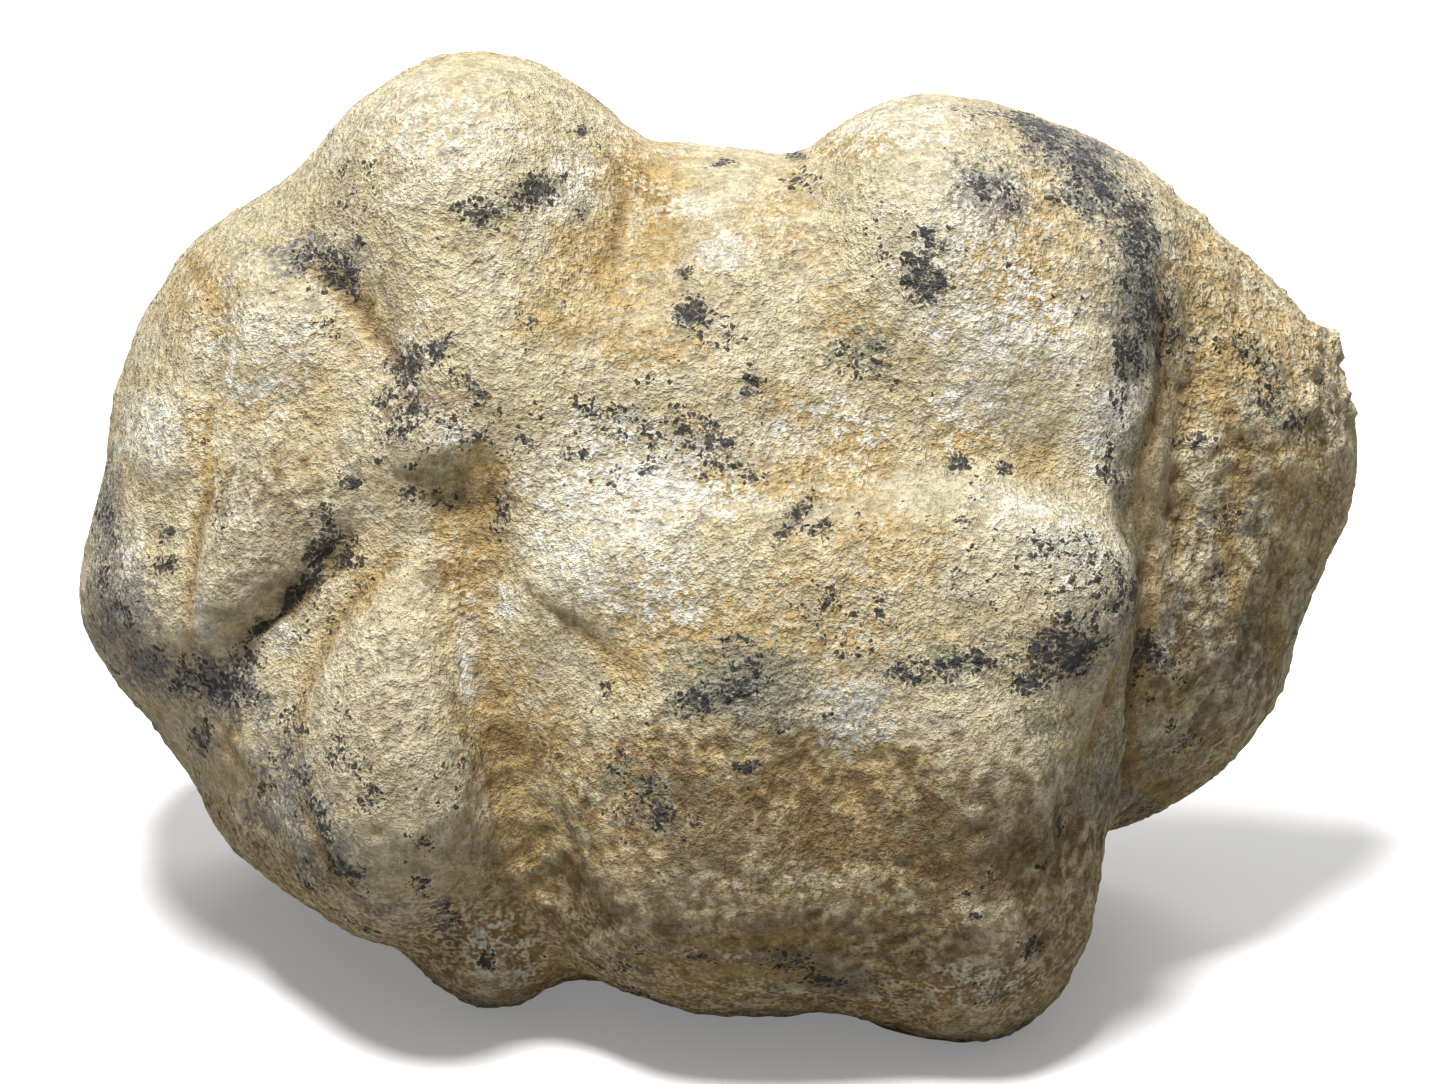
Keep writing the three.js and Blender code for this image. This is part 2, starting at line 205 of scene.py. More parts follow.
# Stains on the face: middle [across, up], half-widths, turn in degrees if any, and strength.
STAINS = {
    "specks": [
        (47, 61.5, 6.5, 2.5, -35, 0.9), (54.5, 55, 7.5, 4, -50, 0.9), (61.5, 46.5, 6.5, 4, -70, 0.8),
        (63.5, 36, 7.5, 3.5, -85, 0.8), (60.5, 27, 6, 3, 90, 0.7), (57.5, 16.5, 6, 2, 80, 0.55),
        (-28, 52.5, 4.5, 2, 15, 1.0), (-34.5, 49, 4, 2, 20, 0.8), (-30, 47, 2.5, 1, 0.5),
        (-20.5, 61.5, 1, 0.7, 0.8), (-20.5, 49.5, 1, 1, 0.9), (-39.5, 49.5, 1, 0.5, 0.9),
        (-59, 42, 6, 2.5, -15, 0.7), (-56, 40, 2, 3, 0.85), (-55, 44.5, 1, 1, 0.9), (-47, 26.5, 2.5, 3, 0.95),
        (-41.5, 29, 2, 1.5, 0.9), (-37.5, 23.5, 3.5, 1.5, -30, 0.75), (-49, 21.5, 2, 2, 0.6),
        (-4, 34.5, 2.5, 4, 25, 0.85), (1, 30.5, 3, 1.5, 0.4), (5, 24, 1.5, 2, 0.9), (-6, 41, 1, 1, 0.8),
        (-29.5, 33, 1, 2, 20, 0.6), (-15, 18.5, 8.5, 4, -10, 0.6), (-4.5, 15, 10, 5, -12, 0.62),
        (2, 11.5, 5.5, 1.5, -20, 0.7), (7, 18.5, 4, 2, 0.45), (-12, 15.5, 4.5, 2, 0.5),
        (29.5, 39, 3.5, 5, 30, 0.95), (32, 44.5, 4, 2, -40, 0.8), (27, 43, 7, 7, 20, 0.42),
        (39, 52.5, 5, 3.5, -30, 0.55), (11.5, 53.5, 3, 2, 0.5), (0, 57, 2, 0.5, 0.7), (11, 57.5, 1.5, 0.5, 0.9),
        (42.5, 49.5, 1, 0.5, 0.9), (49.5, 50.5, 1, 1, 0.8), (10.5, 2.5, 4.5, 1.5, 60, 0.95),
        (14.5, 0.5, 2.5, 2, 0.6), (12.5, 6.5, 1, 1, 0.6), (35.5, 12, 1.5, 1.5, 0.8), (42.5, 11.5, 1.5, 1, 0.7),
        (20.5, 28.5, 4, 2, 0.45), (48.5, -16, 5.5, 4, 0.95), (45.5, -20, 3.5, 2, 0.9), (58.5, -8.5, 2, 3.5, 0.9),
        (48, -4, 8, 5, 0.55), (55, -8, 4, 7, 0.6), (36, -18, 7, 2, 8, 0.75), (26.5, -19, 3.5, 1.5, 0.9),
        (22.5, -16, 1, 3, 0.5), (3.5, -14.5, 3, 1, 0.4), (3, -21.5, 7, 5, -5, 0.6), (-3.5, -24, 4, 2, 0.8),
        (19, -25.5, 4.5, 3, 0.3), (-59, 0.5, 5, 2, 78, 0.95), (-62.5, -6.5, 5.5, 2, 52, 0.95),
        (-55, -2, 4, 1.5, 72, 0.75), (-68.5, -12.5, 4.5, 1.5, 42, 0.9), (-58, -11.5, 2, 2, 0.5),
        (-54.5, 9.5, 2, 1, 30, 0.85), (-46, 7.5, 2, 2, 0.6), (-40.5, 6.5, 4, 1.5, 0.55), (-33, 5.5, 1.5, 5, 0.6),
        (-43.5, 11, 1.5, 1, 0.5), (-74, -21.5, 5.5, 3, -20, 0.85), (-70.5, -17.5, 4, 2, 30, 0.7),
        (-79.5, -17.5, 1.5, 2, 0.6), (-91.5, 3.5, 1.5, 7, 0.55), (-89.5, -10, 3.5, 4.5, 0.55),
        (-85, -17.5, 4.5, 2.5, -30, 0.5), (-82.5, 1, 1.5, 1.5, 0.85), (-82.5, -3.5, 1.5, 1, 0.85),
        (-77.5, -29.5, 2, 2.5, 0.8), (-80.5, -21.5, 1, 1, 0.8), (-64, -33, 2.5, 3.5, 0.5),
        (-60, -40.5, 1.5, 9, 22, 0.65), (-56, -48.5, 4, 2, -40, 0.7), (-68.5, -36.5, 1.5, 2, 0.5),
        (-52, -37.5, 2, 1.5, 0.8), (-45, -50, 1.5, 4, 0.4), (-40.5, -55, 1, 3, 15, 0.6), (-35, -62, 1, 1, 0.95),
        (-45, -43.5, 1, 1, 0.6), (-3.5, -62, 3.5, 1.5, 0.5), (10.5, -62.5, 4.5, 2, -10, 0.75),
        (16, -65, 3, 1, -15, 0.7), (-12, -60.5, 3, 1, 0.4), (-15, -63.5, 3, 1, 0.4), (45.5, -59.5, 2, 2, 0.7),
        (40, -67.5, 3.5, 1, 10, 0.5), (35.5, -65.5, 2, 1, 0.4), (52, -43, 0.5, 1.5, 1.0),
        (81, 21.5, 2, 3.5, 15, 0.6), (85, 17.5, 2.5, 2.5, 0.6), (70, 14.5, 3.5, 1.5, 0.5),
        (74.5, 3.5, 3.5, 2.5, 0.45), (74.5, -5, 2, 1.5, 0.7), (65, -16.5, 1, 3, 10, 0.9), (69, -29.5, 2, 2.5, 0.55),
        (63.5, -40, 3, 1, 25, 0.5), (77, 12.5, 4, 1, 0.4), (59, 11.5, 2, 4, 0.5), (4, -33, 1.5, 0.5, 0.8),
        (15, -14.5, 0.5, 0.5, 0.9), (-17, -21.5, 1, 1, 0.6), (-10, 11, 0.5, 0.5, 0.8), (8.5, -27.5, 0.5, 0.5, 0.8),
    ],
    "smudge": [
        (-69, 4, 10, 6, 40, 0.32), (54, 56, 10, 5, -50, 0.85), (62, 37.5, 12, 5, -85, 0.75),
        (39, 52.5, 6, 4, -30, 0.8), (-61, 42, 6, 3, -10, 0.7), (-91.5, 3.5, 2.5, 9, 0.7),
        (-89.5, -10, 5, 6.5, 0.85), (-85, -18.5, 6, 3.5, -30, 0.8), (-75, -21.5, 7, 4, -20, 0.8),
        (-64, -38, 7, 7.5, 20, 0.75), (-58, -47, 6.5, 4, -35, 0.75), (-52, -53, 7.5, 2.5, -25, 0.5),
        (-41, -57.5, 2, 6, 15, 0.5), (74.5, 3.5, 6, 4.5, 0.55), (78.5, -14.5, 7, 7.5, 0.45),
        (66.5, -11.5, 4, 9, 0.4), (59, -38, 9, 6, 30, 0.45), (53, -14.5, 7.5, 7, 0.4), (4, -21.5, 9, 6, 0.45),
        (11.5, -65, 18, 2.5, -8, 0.6), (-12, -62.5, 9, 2, 0.4), (60.5, 11, 3.5, 9, 0.35), (41.5, -47, 9, 9, 0.2),
        (-61, -5.5, 9, 3.5, 60, 0.4), (42.5, -64, 9, 3.5, 0.3),
    ],
    # Pale chalk, and in places painted highlight that lightens slopes facing the light, as on the terrace and the
    # right lobe.
    "chalk_and_highlight": [
        (-33, -60, 7, 6, 0.35), (38, -65, 10, 4, 0.3), (-42, 61.5, 16.5, 10.5, 0.3), (-43.5, 51, 12, 7.5, 0.2),
        (-64, 30, 9, 7.5, 30, 0.3), (-12, 8, 14, 5.5, -5, 0.75), (-18, 17, 9, 4.5, 0.4), (-18, 0.5, 12, 7.5, 0.5),
        (59, 20.5, 3, 3, 1.0), (56, 15.5, 2.5, 4.5, 0.5), (46, 3.5, 10, 3.5, -8, 0.65), (50, -2.5, 6.5, 4.5, 0.6),
        (0.5, 44, 4, 2.5, 0.6), (-3.5, 51, 9, 4.5, 0.25), (-37.5, -16, 1.5, 7, 0.7), (-37, -21, 2, 2, 0.8),
        (-32, -8.5, 2, 2, 0.8), (-39.5, 16, 2.5, 1.5, 0.8), (-9, -8.5, 9, 5.5, 0.35), (-85, 17, 5, 5, 0.6),
        (47, 30, 6, 7.5, 0.4), (26.5, 61.5, 10.5, 4, 0.5), (-88, -2.5, 3, 7.5, 0.3),
        (-77.5, -11.5, 2.5, 4.5, 20, 0.4), (20, -25, 6, 4.5, 0.6), (-65, -14.5, 1.5, 2.5, 0.4),
        (-22.5, 54, 4.5, 6, 0.4), (16, 18, 14, 7, 0.3), (36, 20, 12, 6, 0.35), (-14, -3, 12, 6, 0.45),
        (36, 44, 9, 10, 0.4), (42, 32, 13, 8, 0.55), (40, 36, 11, 9, 0.3), (-70, 28, 8, 12, 20, 0.35),
        (-48, 30, 8, 8, 0.25), (80, 36, 6, 9, 0.15),
    ],
    # Ochre stains; the broad rows over the belly's front are painted shade.
    "ochre_and_shade": [
        (-12, 55, 5.5, 4, 0.9), (-17.5, 42, 7, 6, 0.8), (-10.5, 46, 3, 6, 0.6), (-24, 33, 9, 4.5, 0.4),
        (-10, 30, 9, 3.5, -10, 0.6), (22, 14.5, 9, 3.5, 0.35), (47, 43.5, 10, 13.5, 0.42), (19, 33, 7.5, 7.5, 0.3),
        (20.5, 58.5, 7.5, 2.5, 0.5), (-37.5, 12.5, 4.5, 4.5, 0.6), (-37.5, 0.5, 4.5, 9, 0.7),
        (11.5, 9.5, 13.5, 3, 0.6), (20.5, -2.5, 13.5, 6, 0.55), (-76.5, 11, 2, 10.5, 15, 0.7),
        (-79, 37.5, 7.5, 7.5, 0.5), (-71.5, 21.5, 6, 7.5, 0.3), (73, 33, 7.5, 15, 0.65),
        (87.5, 6.5, 5.5, 13.5, 15, 0.75), (84.5, 28.5, 6, 9, 0.5), (65.5, -21.5, 6, 4.5, 0.5),
        (-45, -11.5, 9, 7.5, 0.3), (-32, -29.5, 8.5, 5, -10, 0.9), (-30, -20.5, 4.5, 7.5, 0.5),
        (5.5, -36.5, 29.5, 8.5, 0.8), (-18, -45.5, 18, 9, 0.7), (32.5, -45.5, 19.5, 9, 0.6),
        (23.5, -57.5, 23.5, 6, 0.5), (-71.5, -23, 3, 9, -10, 0.4), (37, 15.5, 9, 3, 0.3), (4, -14, 26, 8, 0.5),
        (-51, -7, 3, 6, 0.5), (8.5, 48.5, 7.5, 7.5, 0.35), (8.5, 21.5, 12, 4.5, 0.25),
    ],
    # Brown earth, deepened on the low front and the right block as painted shade.
    "earth_and_shade": [
        (10, -40, 32, 11, 0.65), (-14, -50, 20, 8, 0.5), (4, -30, 34, 6, 0.4), (38, -44, 18, 12, 0.85),
        (64, -38, 12, 10, 0.3), (20, -58, 36, 7, 0.55), (76, -12, 15, 19, 0.55), (44, -62, 12, 6, 0.4),
        (-46, -22, 12, 18, 0.3), (-66, 3, 15, 9, 44, 0.55), (-45, -30, 12, 12, 0.36), (76, 10, 12, 16, 0.25),
    ],
    "rust": [
        (-42, 21.5, 7.5, 1.5, 0.9), (-48, 20, 3, 1.5, 0.8), (-39.5, -4.5, 4, 1.5, 10, 0.9),
        (-37.5, -8.5, 1.5, 6, 0.5), (-31.5, -30.5, 7, 1.5, -8, 0.8), (31, -48, 2.5, 1.5, 1.0),
        (-3.5, -38, 18, 4, 0.5), (-15, -57.5, 13.5, 2, -5, 0.5), (35.5, -41, 16.5, 6, 0.45),
        (11.5, -47, 19.5, 7.5, 0.4), (-33, 8, 2.5, 3.5, 0.5), (22, -62.5, 16.5, 3.5, 0.35), (-12, -32, 9, 3.5, 0.4),
        (90, 15.5, 2, 13.5, 5, 0.45), (-12, 54, 4.5, 1.5, -40, 0.5),
    ],
    "green": [
        (3, -21.5, 8.5, 6, -5, 0.9), (19, -25, 7, 5, 0.6), (35.5, -18.5, 9, 3, 0.5), (20.5, 28.5, 5, 2.5, 0.7),
        (62, 28.5, 4, 18, 0.45), (62, -8.5, 3.5, 13.5, 0.5), (62, -35, 9, 10.5, 0.4), (81.5, 21.5, 7.5, 7.5, 0.4),
        (-62.5, -8.5, 7.5, 3, 50, 0.3), (48, -26.5, 3.5, 2.5, 0.9), (48.5, -33, 1, 3.5, 0.8),
        (-10.5, -35.5, 9, 2, -5, 0.7), (30, -42.5, 9, 4, 0.5), (-24, -41, 9, 4.5, 0.3),
        (14.5, -64, 9, 2.5, -10, 0.5), (11.5, 20, 7.5, 4.5, 0.25),
    ],
}


def smooth(value, low, high):
    """Runs from 0 at low to 1 at high, gently at both ends."""
    part = np.clip((value - low) / (high - low), 0, 1)
    return part * part * (3 - 2 * part)


def to_face(points):
    """Across, up and out of points in the stone's frame."""
    sin, cos = math.sin(LEAN), math.cos(LEAN)
    x, y, z = points.T
    return np.stack([x, y * sin + z * cos, z * sin - y * cos], 1)


def as_seen(face):
    """Where points of the face show on its plane, from the camera, on the scale of the folds and stains."""
    nearness = EYE_DISTANCE / (EYE_DISTANCE - face[:, 2])
    return face[:, :2] * (nearness * STAIN_WIDTH / FRAME_WIDTH)[:, None]


def turned(x, y, angle):
    """Lengths x and y measured along axes turned by an angle."""
    cos, sin = math.cos(angle), math.sin(angle)
    return x * cos + y * sin, y * cos - x * sin


def from_oval(away, size):
    """About how far points are from an oval's skin, below zero inside it; away is from its middle."""
    near = np.linalg.norm(away / size, axis=1)
    steep = np.linalg.norm(away / np.square(size), axis=1)
    return near * (near - 1) / np.maximum(steep, 1e-9)


def from_lump(face, place, size, turn):
    across, up, out = (face - place).T
    return from_oval(np.stack([*turned(across, up, math.radians(turn)), out], 1), size)


def from_line(seen, line):
    """How far points are from a line, and how far from its nearer end they pass it, from 0 to 0.5."""
    corners = np.array(line, float)
    steps = np.diff(corners, axis=0)
    lengths = np.linalg.norm(steps, axis=1)
    nearest = np.full(len(seen), 1e9)
    reached = np.zeros(len(seen))
    for start, step, length, run in zip(corners, steps, lengths, np.cumsum(lengths) - lengths):
        part = np.clip((seen - start) @ step / length ** 2, 0, 1)
        away = np.linalg.norm(seen - start - part[:, None] * step, axis=1)
        reached = np.where(away < nearest, run + part * length, reached)
        nearest = np.minimum(away, nearest)
    whole = lengths.sum()
    return nearest, np.minimum(reached, whole - reached) / whole


def from_stone(points):
    """How far points are from the stone's skin, below zero inside it."""
    face = to_face(points)
    distance = None
    for place, size, turn, soft in LUMPS:
        other = from_lump(face, np.array(place), np.array(size), turn)
        if distance is None:
            distance = other
            continue
        mix = np.maximum(soft - np.abs(distance - other), 0)
        distance = np.minimum(distance, other) - mix * mix / soft / 4
    front = smooth(face[:, 2], -12, 4)
    for width, depth, line in CREASES:
        away, end = from_line(face[:, :2], line)
        distance = distance + front * depth * np.clip(4 * end, 0, 1) * np.exp(-np.square(away / width))
    return distance


def from_hollow(points):
    """How far points are from the wall of the hollow, below zero inside it."""
    x, y, z = points.T
    wave = np.sin(x * 0.13 + 1) * np.sin(y * 0.15) * np.sin(z * 0.14 + 2)
    return from_oval(points - HOLLOW_AT, HOLLOW_SIZE) + HOLLOW_WAVE * wave


def from_break(points):
    """How far points are behind the broken face, below zero in the stone."""
    x, y, z = (points - (0, BREAK_AT, 0)).T
    across, back = turned(x, y, BREAK_TURN)
    down, deep = turned(back, z, BREAK_LEAN - math.pi / 2)
    slow = np.sin(across * 0.09 + 2) * np.sin(down * 0.11 + 1) + 0.5 * np.sin(across * 0.031 - down * 0.043)
    fast = np.sin(across * 0.61 + down * 0.35) * np.sin(down * 0.53 - across * 0.27 + 1)
    return deep - ROUGH * (1.6 * slow + 0.5 * fast)


def slope(shape, points, step=0.3):
    """The way in which a shape's distance grows, as unit vectors."""
    middle = shape(points)
    rise = np.stack([shape(points + np.eye(3)[axis] * step) - middle for axis in range(3)], 1)
    return middle, rise / np.maximum(np.linalg.norm(rise, axis=1), 1e-9)[:, None]


def cloudy(points, size, octaves=3, stretch=(1, 1, 1), shift=0.0):
    """Soft random values from about -1 to 1, whose clouds are size across."""
    scaled = points / (size * np.array(stretch)) + shift
    return np.array([noise.fractal(Vector(p), 1.0, 2.0, octaves) for p in scaled])


def in_stone(mesh):
    """A mesh's vertices in the stone's own frame."""
    places = np.empty(len(mesh.vertices) * 3)
    mesh.vertices.foreach_get("co", places)
    return places.reshape(-1, 3) / MM - SETTLE


def put_back(mesh, points):
    """Moves a mesh's vertices to points in the stone's own frame."""
    mesh.vertices.foreach_set("co", ((points + SETTLE) * MM).ravel())
    mesh.update()


def normals_of(mesh):
    values = np.empty(len(mesh.vertices) * 3)
    mesh.vertex_normals.foreach_get("vector", values)
    return values.reshape(-1, 3)


def spread(mesh, values, times):
    """Values averaged with their neighbours', again and again."""
    edges = np.empty(len(mesh.edges) * 2, int)
    mesh.edges.foreach_get("vertices", edges)
    first, second = edges.reshape(-1, 2).T
    count = np.bincount(np.concatenate([first, second]), minlength=len(mesh.vertices))
    shown = np.atleast_2d(values.T).astype(float)
    for _ in range(times):
        shown = np.stack([
            (np.bincount(first, row[second], len(row)) + np.bincount(second, row[first], len(row)) + row)
            / (count + 1) for row in shown])
    return shown.T if values.ndim > 1 else shown[0]


def keep_value(mesh, name, values):
    """Stores a value for each vertex, which the materials read by its name."""
    kept = mesh.attributes.new(name, "FLOAT", "POINT")
    kept.data.foreach_set("value", np.clip(values, 0, 4).astype(np.float32))


def finished(shape, name):
    """A new mesh of a shape that needs no more work."""
    mesh = bpy.data.meshes.new(name)
    shape.to_mesh(mesh)
    shape.free()
    return mesh


def merged_copy(node, name):
    """A node's mesh with its loose triangles joined, as a new mesh."""
    shape = bmesh.new()
    shape.from_mesh(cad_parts[node].data)
    bmesh.ops.remove_doubles(shape, verts=shape.verts, dist=2e-7)
    return finished(shape, name)


def settled(piece):
    """The piece with its modifiers worked into its mesh."""
    done = bpy.data.meshes.new_from_object(piece.evaluated_get(bpy.context.evaluated_depsgraph_get()))
    piece.modifiers.clear()
    piece.data = done
    return done


def show(mesh, name):
    piece = bpy.data.objects.new(name, mesh)
    bpy.context.collection.objects.link(piece)
    return piece


def eased(over, limit):
    """Distances that would run past limit, brought to stay short of it."""
    return np.where(over > 0, limit * over / (limit + np.maximum(over, 0)), over)


def keep_in_box(points):
    """Points eased back into the frame's box where they come close to its sides or its top."""
    low = np.array(cad_box[0]) / MM - SETTLE
    high = np.array(cad_box[1]) / MM - SETTLE
    for axis in (0, 1):
        for side, sign in ((high[axis] - BOX_MARGIN, 1), (low[axis] + BOX_MARGIN, -1)):
            over = (points[:, axis] - side) * sign + BOX_EASE
            points[:, axis] = side + sign * (eased(over, BOX_EASE) - BOX_EASE)
    over = points[:, 2] - high[2] + BOX_MARGIN + BOX_EASE
    points[:, 2] = np.maximum(high[2] - BOX_MARGIN - BOX_EASE + eased(over, BOX_EASE), GROUND)
    return points


def spot(seen, middle, size):
    """A soft spot on the face, 1 at its middle."""
    return np.exp(-np.square((seen - middle) / size).sum(axis=1))


def drawn_to_skin(mesh):
    """A mesh's vertices drawn to the stone's true skin, except by the break, the hollow and the ground."""
    points = in_stone(mesh)
    for _ in range(2):
        distance, way = slope(from_stone, points)
        others = np.minimum(np.minimum(np.abs(from_break(points)), np.abs(from_hollow(points))),
                            points[:, 2] - GROUND)
        on_skin = smooth(others, 0.6, 2.2) * (1 - smooth(np.abs(distance), 4, 8))
        moves = -way * np.clip(distance * on_skin, -PULL, PULL)[:, None]
        points = points + spread(mesh, moves, 4)
    return points


class Skin:
    """The rind's skin before its relief is raised: where each point is, and which parts it belongs to."""

    def __init__(self, mesh, points):
        self.points = points
        self.normal = normals_of(mesh)
        self.facing = to_face(self.normal)[:, 2]
        self.seen = as_seen(to_face(points))
        self.distance = from_stone(points)
        self.broken = smooth(from_break(points), -1.3, -0.4) * smooth(-self.distance, 0.3, 1.2)
        self.lined = smooth(-from_hollow(points), -1.2, -0.4)
        self.standing = 1 - smooth(points[:, 2] - GROUND, 0.1, 1.6)
        self.plain = np.clip(1 - self.broken - self.lined, 0, 1) * (1 - self.standing)
        self.front = smooth(self.facing, -0.05, 0.3) * self.plain
        across, up = self.seen.T
        crumbly = np.zeros(len(points))
        for middle, size, strength in CRUMBLY_SPOTS:
            crumbly = np.maximum(crumbly, strength * spot(self.seen, middle, size) * self.front)
        block = smooth(across, 64, 67) * self.front
        underside = smooth(-up, 56, 64) * self.front
        self.crude = np.clip(block + crumbly + 0.5 * underside + 0.4 * (1 - self.front) * self.plain, 0, 1.3)


def lift_of(skin):
    """How far each point of the skin is raised for the grain, pits, swellings and folds of the stone."""
    points, front, crude = skin.points, skin.front, skin.crude
    across, up = skin.seen.T
    calm = 0.55 + 0.45 * smooth(cloudy(points, 30, 2, shift=7.1), -0.3, 0.3)
    swell = cloudy(points, 15, 2)
    knobbly = cloudy(points, 6.5, 3, shift=3.3)
    wrinkled = cloudy(points, 3.2, 2, stretch=(2.4, 1.2, 0.8), shift=5.7)
    grain = cloudy(points, 1.6, 2, shift=9.2)
    lumpy = cloudy(points, 8.0, 4, shift=2.0)
    ridged = np.abs(cloudy(points, 5.0, 3, shift=4.0))
    lift = (RELIEF["swell"] * swell + (RELIEF["knobbly"] * calm + RELIEF["crude knobbly"] * crude) * knobbly
            + RELIEF["wrinkled"] * calm * wrinkled + RELIEF["grain"] * grain
            + crude * (RELIEF["crude lumps"] * lumpy + RELIEF["crude ridges"] * (ridged - 0.3))
            + RELIEF["base"] + (1 - front) * (RELIEF["back"] * cloudy(points, 24, 3, shift=5.2)))
    pits = smooth(cloudy(points, 2.4, 2, shift=13.0), 0.42, 0.75)
    lift = lift + RELIEF["pits"] * (pits * smooth(cloudy(points, 13, 1, shift=1.7), 0, 0.4))
    rim = smooth(across, 82, 89) * smooth(up, 10, 20) * (1 - smooth(up, 46, 54)) * skin.plain
    lift = lift + rim * RELIEF["rim"] * (np.abs(cloudy(points, 6.0, 3, shift=17.0)) - 0.25)
    scratched = spot(skin.seen, *SCRATCHED_SPOT) * front
    lift = lift + RELIEF["scratches"] * scratched * np.sin(across / SCRATCH_STEP + 0.7 * np.sin(up / 6))

    swollen = np.zeros(len(points))
    for width, rise, line in SWELLS:
        away, end = from_line(skin.seen, line)
        swollen += rise * np.exp(-np.square(away / width)) * smooth(end + width / 60, 0, 0.2)
    lift = lift + swollen * smooth(skin.facing, 0.1, 0.55)
    cuts = np.zeros(len(points))
    strayed = skin.seen + 0.5 * np.stack([wrinkled, knobbly], 1)
    for width, depth, line in FOLDS:
        away, end = from_line(strayed, line)
        cut = smooth(end, 0, 0.3) * np.exp(-np.square(away / width))
        cuts = np.maximum(cuts, cut * front)
        lift = lift + RELIEF["fold"] * depth * cut * front
    lift = lift * skin.plain
    lift = lift + skin.broken * (RELIEF["broken knobbly"] * knobbly + RELIEF["broken grain"] * grain
                                 + RELIEF["broken lumps"] * lumpy + RELIEF["broken ridges"] * (ridged - 0.2))
    lift = np.where(skin.broken > 0.3, np.minimum(lift, 0.25), lift)
    return lift * (1 - skin.lined) * (1 - skin.standing), cuts


def keep_hollows(mesh, points, cuts):
    """Stores where the finished skin is hollow, to be darkened there as dirt and painted shade, and where it stands
    proud and is worn.
    """
    sunk, hollowed = (np.einsum("ij,ij->i", spread(mesh, points, times) - points, normals_of(mesh))
                      for times in (10, 60))
    crevice = smooth(sunk, 0.1, 0.5) * 0.4 + smooth(hollowed, 0.4, 2.4) * 0.55 + 0.45 * cuts
    keep_value(mesh, "crevice", crevice)
    keep_value(mesh, "worn", smooth(-hollowed, 0.2, 1.4) * 0.6 + smooth(-sunk, 0.05, 0.35) * 0.5)


def keep_stains(mesh, points, skin):
    """Stores the strength of each kind of stain, some of them painted shade or painted highlight, with the edges of
    the placed ones wandering a little.
    """
    wander = np.stack([cloudy(points, 4.5, 2, shift=21.0), cloudy(points, 4.5, 2, shift=31.0)], 1)
    for name, rows in STAINS.items():
        stain = np.zeros(len(points))
        for u, v, half_u, half_v, *turn, strength in rows:
            off = skin.seen + wander * min(half_u, half_v) * 0.45 - (u, v)
            along, over = turned(*off.T, math.radians(sum(turn)))
            reach = (along / (half_u + 0.5)) ** 2 + (over / (half_v + 0.5)) ** 2
            stain = np.maximum(stain, strength * np.exp(-reach))
        keep_value(mesh, name, stain * smooth(skin.facing, -0.05, 0.25) * skin.plain)


def make_rind():
    """The stone: the frame's solid skinned afresh in fine faces, with its folds, grain, pits and cracks."""
    piece = show(merged_copy("rind", "rind_fine"), "rind_fine")
    fresh = piece.modifiers.new("skin", "REMESH")
    fresh.mode = "VOXEL"
    fresh.voxel_size = SKIN_STEP * MM * 1
    fresh.use_smooth_shade = True
    mesh = settled(piece)
    points = drawn_to_skin(mesh)
    put_back(mesh, points)

    skin = Skin(mesh, points)
    lift, cuts = lift_of(skin)
    points = keep_in_box(points + skin.normal * lift[:, None])
    put_back(mesh, points)

    keep_hollows(mesh, points, cuts)
    keep_value(mesh, "broken", skin.broken)
    keep_value(mesh, "inner_bands", smooth(from_hollow(points), 7, 0.5) * skin.broken)
    keep_value(mesh, "weathered", smooth(skin.distance, -9, -2) * skin.broken)
    keep_value(mesh, "crude", skin.crude)
    keep_value(mesh, "front", skin.front)
    keep_stains(mesh, points, skin)
    return piece


Point = namedtuple("Point", "root way radius length taper tip spin")


def quartz_point(shape, point):
    """Adds one six-sided quartz point to a shape."""
    made = bmesh.ops.create_cone(shape, cap_ends=True, segments=6, radius1=point.radius,
                                 radius2=point.radius * point.taper, depth=point.length)
    bmesh.ops.translate(shape, vec=(0, 0, point.length / 2), verts=made["verts"])
    top = max({face for vert in made["verts"] for face in vert.link_faces},
              key=lambda face: face.calc_center_median().z)
    poked = bmesh.ops.poke(shape, faces=[top], offset=point.tip)
    turn = point.way.to_track_quat("Z", "Y").to_matrix().to_4x4() @ Matrix.Rotation(point.spin, 4, "Z")
    bmesh.ops.transform(shape, matrix=Matrix.Translation(point.root) @ turn,
                        verts=list({*made["verts"], *poked["verts"]}))


def hollow_reach(ways, offset):
    """How far along each way from the hollow's middle its wall stands, offset inwards."""
    near, far = np.zeros(len(ways)), np.full(len(ways), 120.0)
    for _ in range(24):
        half = (near + far) / 2
        outside = from_hollow(HOLLOW_AT + ways * half[:, None]) + offset > 0
        far = np.where(outside, half, far)
        near = np.where(outside, near, half)
    return near


def even_ways(pick, count):
    """Ways from the hollow's middle to all of its wall, evenly spread and then shaken a little."""
    ways = []
    for i in range(count):
        depth = 1 - (2 * i + 1) / (2 * count)
        flat = math.sqrt(1 - depth * depth)
        around = i * GOLDEN_TURN + pick.uniform(-0.25, 0.25)
        ways.append((flat * math.cos(around), -depth + pick.uniform(-0.03, 0.03), flat * math.sin(around)))
    ways = np.array(ways)
    return ways / np.linalg.norm(ways, axis=1)[:, None]


